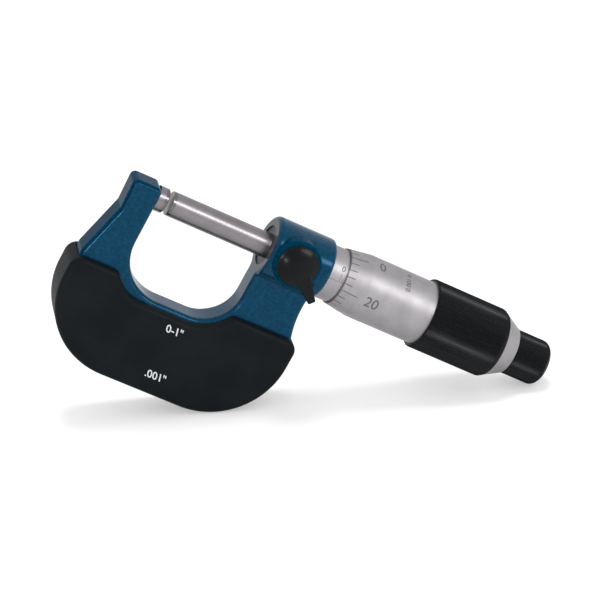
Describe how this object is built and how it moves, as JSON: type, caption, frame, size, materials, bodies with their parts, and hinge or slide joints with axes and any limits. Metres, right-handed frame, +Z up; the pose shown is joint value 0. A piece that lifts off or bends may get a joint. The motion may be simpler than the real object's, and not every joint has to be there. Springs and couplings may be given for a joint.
{
  "type": "outside micrometer",
  "caption": "Outside micrometer with a U frame, insulating covers, anvil and spindle, graduated sleeve and thimble, lever lock and ratchet stop knob.",
  "frame": {"origin": "centre of the anvil's measuring face", "axes": "+Z up from the floor that the tool lies on, leaning as it is laid down; the spindle runs towards +X and down, in the XZ plane; the front face, with the lock lever, looks along -Y"},
  "size_m": [0.1265, 0.0206, 0.0628],
  "materials": {
    "blue_hammer_paint": "hammered gloss enamel",
    "black_cover": "satin moulded plastic",
    "ground_steel": "ground and lapped",
    "carbide": "lapped carbide",
    "satin_chrome": "satin chrome",
    "black_knurl": "black anodised, straight knurl",
    "black_lever": "moulded plastic",
    "machined_steel": "turned",
    "brass": "turned",
    "spring_steel": "wire"
  },
  "bodies": {
    "frame": {"frame": "blue_hammer_paint", "front_cover": "black_cover", "rear_cover": "black_cover", "cover_pins": "machined_steel", "anvil": "ground_steel", "anvil_tip": "carbide", "guide_sleeve": "machined_steel", "scale_sleeve": "satin_chrome", "adjusting_nut": "machined_steel", "lock_shoe": "brass"},
    "lock": {"lock_screw": "machined_steel", "lock_lever": "black_lever"},
    "spindle_end": {"spindle_tip": "carbide"},
    "thimble": {"spindle": "ground_steel", "thimble": "satin_chrome", "thimble_nut": "machined_steel", "grip_sleeve": "black_knurl", "end_cone": "satin_chrome", "ratchet_body": "machined_steel", "ratchet_screw": "machined_steel"},
    "ratchet": {"ratchet_knob": "black_knurl", "ratchet_pawl": "machined_steel", "ratchet_spring": "spring_steel"}
  },
  "joints": [
    {"name": "spindle_slide", "type": "slide", "parent": "frame", "child": "spindle_end", "axis": [0.8837, 0, -0.468], "range_m": [-0.00114, 0.02426]},
    {"name": "thimble_turn", "type": "hinge", "parent": "spindle_end", "child": "thimble", "pos_m": [0, 0, 0], "axis": [0.8837, 0, -0.468], "range_deg": [-648, 13752]},
    {"name": "ratchet_turn", "type": "hinge", "parent": "thimble", "child": "ratchet", "pos_m": [0, 0, 0], "axis": [0.8837, 0, -0.468], "continuous": true},
    {"name": "lock_turn", "type": "hinge", "parent": "frame", "child": "lock", "pos_m": [0.03136, 0, -0.01536], "axis": [0, -1, 0], "range_deg": [-55, 10]}
  ],
  "couplings": [
    {"joint": "thimble_turn", "follows": "spindle_slide", "rad_per_m": 9894.8}
  ]
}
